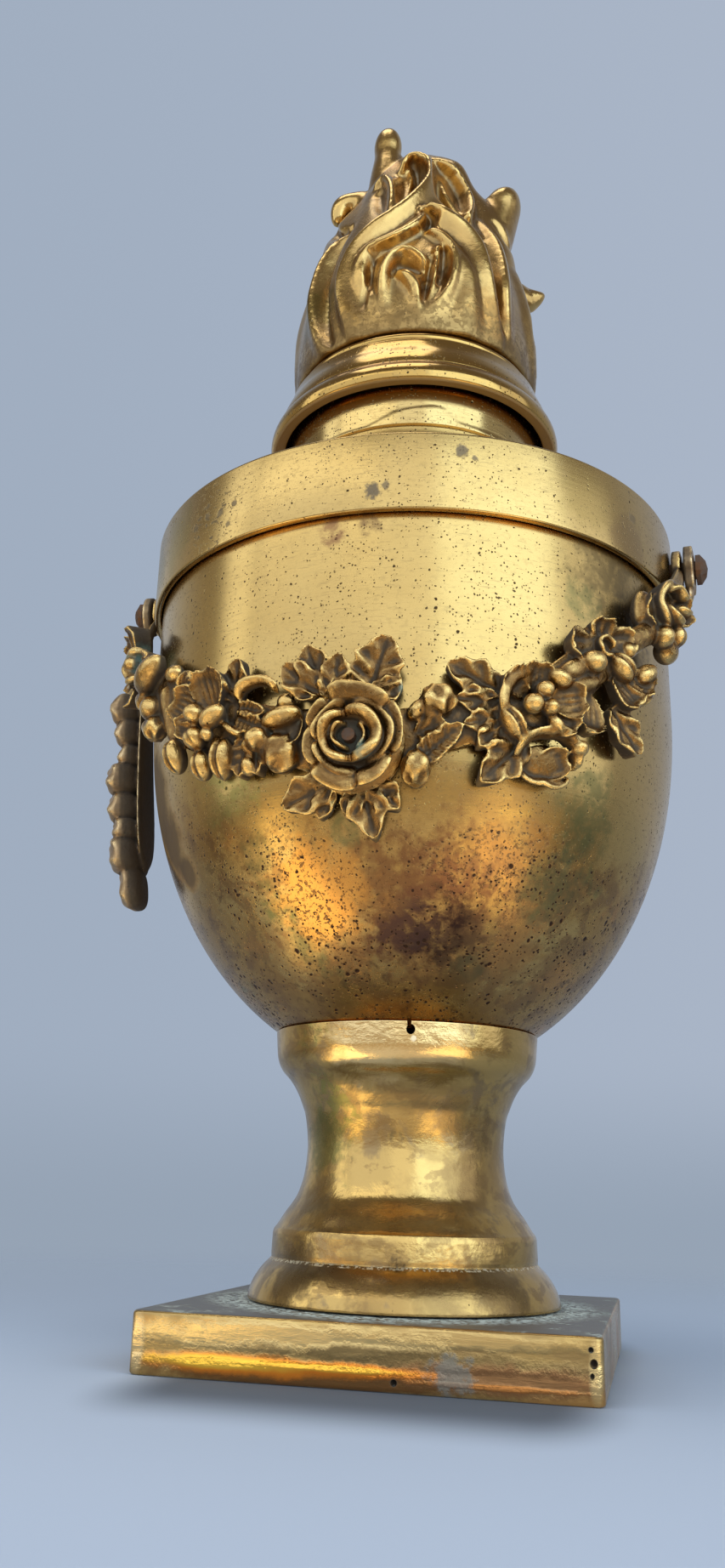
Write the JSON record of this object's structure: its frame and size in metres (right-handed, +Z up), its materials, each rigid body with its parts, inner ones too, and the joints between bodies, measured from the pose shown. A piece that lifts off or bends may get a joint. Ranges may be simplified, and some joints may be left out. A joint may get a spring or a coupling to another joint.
{
  "type": "brass cassolette urn",
  "caption": "Covered brass urn on a square plinth, with a turned foot, a cast flower swag round the bowl, a side drop and a lift-off lid topped by a flame.",
  "frame": {"origin": "middle of the footprint's outline on the surface it stands on; the turned axis is 1.9 mm to its right and 3.4 mm behind it, because the swag is in front and only the left drop is whole", "axes": "+Z up along the turned axis, -Y towards the rose in front, +X towards the right side screw"},
  "size_m": [0.1358, 0.1242, 0.295],
  "materials": {
    "spun_brass": "satin, pitted and stained",
    "foot_brass": "polished, a few dark marks",
    "plinth_brass": "dull on top with green corrosion round the foot",
    "cast_brass": "dark cast bronze colour with worn bright edges",
    "flame_brass": "polished casting with mottled stains",
    "dull_steel": "dull",
    "rusty_steel": "brown, lightly rusted"
  },
  "bodies": {
    "urn": {"plinth": "plinth_brass", "foot": "foot_brass", "bowl": "spun_brass", "collar_band": "spun_brass", "shoulder": "spun_brass", "neck_ring": "spun_brass", "tie_rod": "dull_steel", "base_washer": "dull_steel", "base_nut": "dull_steel", "bowl_washer": "dull_steel", "bowl_nut": "dull_steel", "flower_swag": "cast_brass", "swag_rose": "cast_brass", "rose_rivet": "rusty_steel", "left_drop": "cast_brass", "right_drop_stub": "cast_brass", "left_screw": "rusty_steel", "right_screw": "rusty_steel", "left_washer": "dull_steel", "right_washer": "dull_steel", "left_nut": "dull_steel", "right_nut": "dull_steel"},
    "lid_carrier": {"lid_spigot": "spun_brass"},
    "lid": {"lid_ring": "spun_brass", "lid_bead": "spun_brass", "flame": "flame_brass", "flame_stud": "dull_steel", "flame_washer": "dull_steel", "flame_nut": "dull_steel"}
  },
  "joints": [
    {"name": "lid_lift", "type": "slide", "parent": "urn", "child": "lid_carrier", "axis": [0, 0, 1], "range_m": [0, 0.06]},
    {"name": "lid_turn", "type": "hinge", "parent": "lid_carrier", "child": "lid", "pos_m": [0.00191, 0.00344, 0.20663], "axis": [0, 0, 1], "continuous": true}
  ]
}
